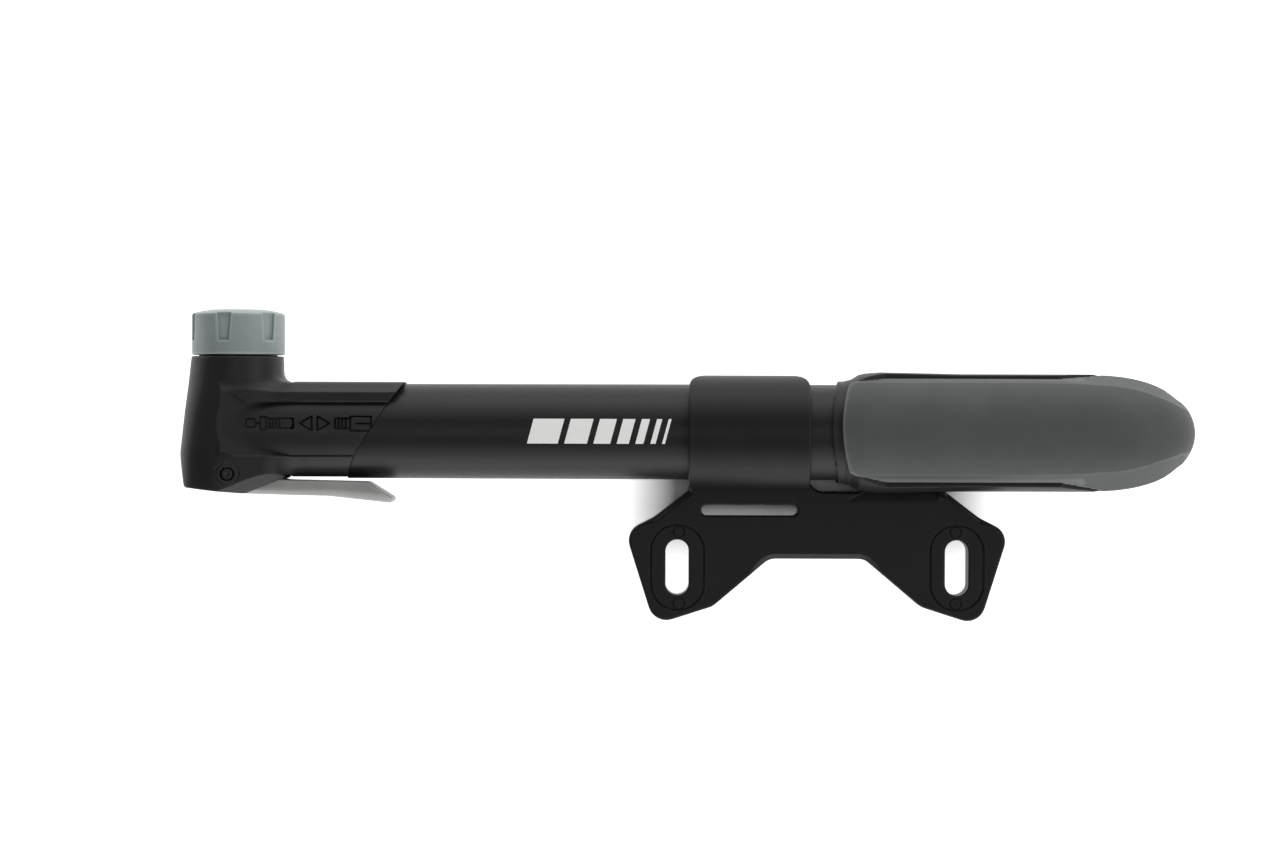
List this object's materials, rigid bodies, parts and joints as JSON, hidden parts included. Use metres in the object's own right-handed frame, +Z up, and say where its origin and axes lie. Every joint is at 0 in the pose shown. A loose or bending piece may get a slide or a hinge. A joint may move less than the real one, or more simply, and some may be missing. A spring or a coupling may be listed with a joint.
{
  "type": "mini bicycle pump",
  "caption": "Slim hand pump with a screw-cap valve head, a folding thumb lever, a pull handle with soft grip and a clip-on frame bracket with slotted ears.",
  "frame": {"origin": "under the middle of the object's box, on the surface it lies on", "axes": "+X along the barrel towards the handle's nose, +Y out of the valve mouth, +Z up from the surface the pump lies on"},
  "size_m": [0.231, 0.0707, 0.0267],
  "materials": {
    "black_plastic": "satin, fine moulded texture",
    "bracket_plastic": "matte, fine spark-eroded texture",
    "grey_plastic": "satin",
    "pale_plastic": "satin",
    "white_nylon": "natural nylon",
    "grip_rubber": "soft matte",
    "rubber": "matte",
    "steel": "turned"
  },
  "bodies": {
    "pump_body": {"head_body": "black_plastic", "barrel": "black_plastic", "barrel_o_ring": "rubber", "check_valve_seat": "white_nylon", "check_valve_spring": "steel", "lever_pin": "steel", "rod_guide": "black_plastic", "stroke_bumper": "rubber", "valve_grommet": "rubber"},
    "piston_slide": {"piston_rod": "steel", "piston_head": "white_nylon", "piston_cup": "rubber", "piston_retainer": "steel", "rod_screw": "steel", "rod_washer": "steel"},
    "handle": {"handle_core": "black_plastic", "handle_grip": "grip_rubber"},
    "lever": {"lock_lever": "pale_plastic"},
    "plunger_group": {"plunger": "white_nylon", "plunger_o_ring": "rubber", "valve_pin": "steel"},
    "check_valve": {"check_valve_poppet": "rubber"},
    "cap_carrier": {"slip_washer": "white_nylon"},
    "cap": {"chuck_cap": "grey_plastic"},
    "bracket": {"frame_bracket": "bracket_plastic"}
  },
  "joints": [
    {"name": "handle_stroke", "type": "slide", "parent": "pump_body", "child": "piston_slide", "axis": [1, 0, 0], "range_m": [0, 0.148]},
    {"name": "handle_spin", "type": "hinge", "parent": "piston_slide", "child": "handle", "pos_m": [0.06235, 0.00788, 0.01345], "axis": [1, 0, 0], "continuous": true},
    {"name": "lever_flip", "type": "hinge", "parent": "pump_body", "child": "lever", "pos_m": [-0.104, -0.00193, 0.01345], "axis": [0, 0, -1], "range_deg": [0, 90]},
    {"name": "plunger_lift", "type": "slide", "parent": "pump_body", "child": "plunger_group", "axis": [0, 1, 0], "range_m": [0, 0.00251], "deforming": ["valve_grommet"]},
    {"name": "check_valve_lift", "type": "slide", "parent": "pump_body", "child": "check_valve", "axis": [-1, 0, 0], "range_m": [0, 0.0006], "stiffness_N_per_m": 40, "springref_m": -0.001, "deforming": ["check_valve_spring"]},
    {"name": "cap_lift", "type": "slide", "parent": "pump_body", "child": "cap_carrier", "axis": [0, 1, 0], "range_m": [0, 0.00502]},
    {"name": "cap_twist", "type": "hinge", "parent": "cap_carrier", "child": "cap", "pos_m": [-0.10265, 0.02987, 0.01345], "axis": [0, 1, 0], "range_deg": [0, 900]},
    {"name": "bracket_slide", "type": "slide", "parent": "pump_body", "child": "bracket", "axis": [1, 0, 0], "range_m": [-0.06, 0.004]}
  ],
  "couplings": [
    {"joint": "plunger_lift", "follows": "lever_flip", "m_per_rad": 0.0015915},
    {"joint": "cap_lift", "follows": "cap_twist", "m_per_rad": 0.00031831}
  ]
}
